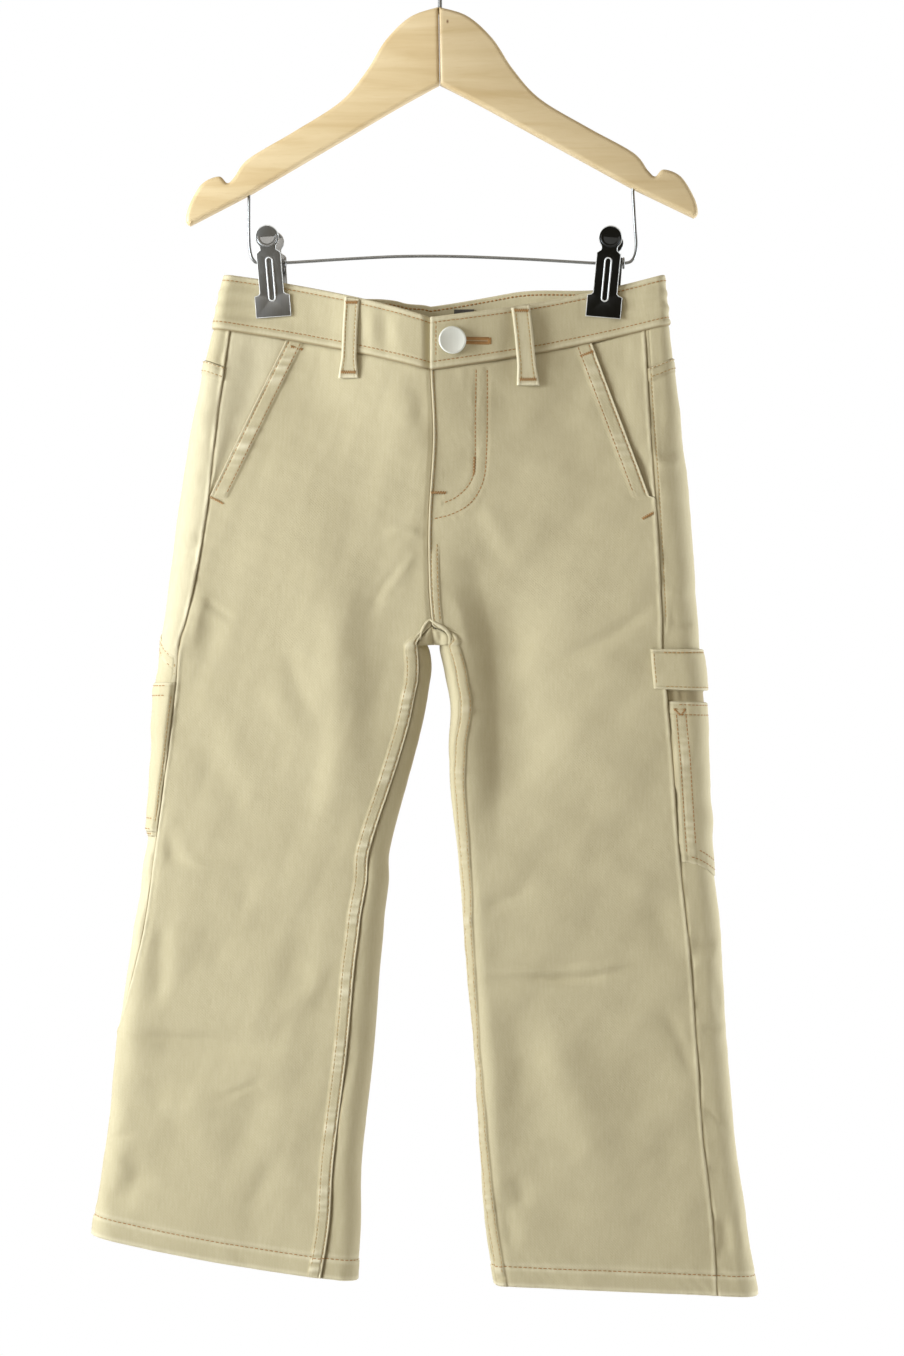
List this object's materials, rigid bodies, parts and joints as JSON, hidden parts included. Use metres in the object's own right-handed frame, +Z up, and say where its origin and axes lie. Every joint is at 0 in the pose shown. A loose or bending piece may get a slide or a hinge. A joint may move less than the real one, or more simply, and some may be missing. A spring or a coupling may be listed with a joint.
{
  "type": "jeans on a clip hanger",
  "caption": "Child's carpenter jeans in khaki twill, hanging flat by the waistband from the clips of a small wooden hanger.",
  "frame": {"origin": "the seat of the hanger's hook, inside the top of its crook, where it lies on a rail", "axes": "+Z up, +X to the viewer's right, the jeans' front faces -Y"},
  "size_m": [0.4153, 0.0392, 0.8692],
  "materials": {
    "twill": "matt washed cotton twill",
    "thread": "matt cotton thread",
    "steel": "polished plate",
    "wood": "clear satin lacquer on beech",
    "button_metal": "satin",
    "label": "matt woven",
    "zip_tape": "matt woven",
    "zip_metal": "satin"
  },
  "bodies": {
    "root": {"back_left": "twill", "back_pocket_left": "twill", "back_pocket_right": "twill", "back_right": "twill", "bar_stop_left": "steel", "bar_stop_right": "steel", "belt_loop_1": "twill", "belt_loop_2": "twill", "belt_loop_3": "twill", "belt_loop_4": "twill", "belt_loop_5": "twill", "button": "button_metal", "clip_bar": "steel", "clip_left_front_leaf": "steel", "clip_left_rear_leaf": "steel", "clip_left_spring": "steel", "clip_right_front_leaf": "steel", "clip_right_rear_leaf": "steel", "clip_right_spring": "steel", "front_left": "twill", "front_right": "twill", "hammer_loop": "twill", "hanger_arm_left": "wood", "hanger_arm_right": "wood", "hook": "steel", "inner_label": "label", "pocket_facing_left": "twill", "pocket_facing_right": "twill", "tool_pocket_left": "twill", "tool_pocket_right_over": "twill", "tool_pocket_right_under": "twill", "waistband": "twill", "yoke_left": "twill", "yoke_right": "twill", "zip_slider": "zip_metal", "zip_tape": "zip_tape"}
  },
  "joints": []
}
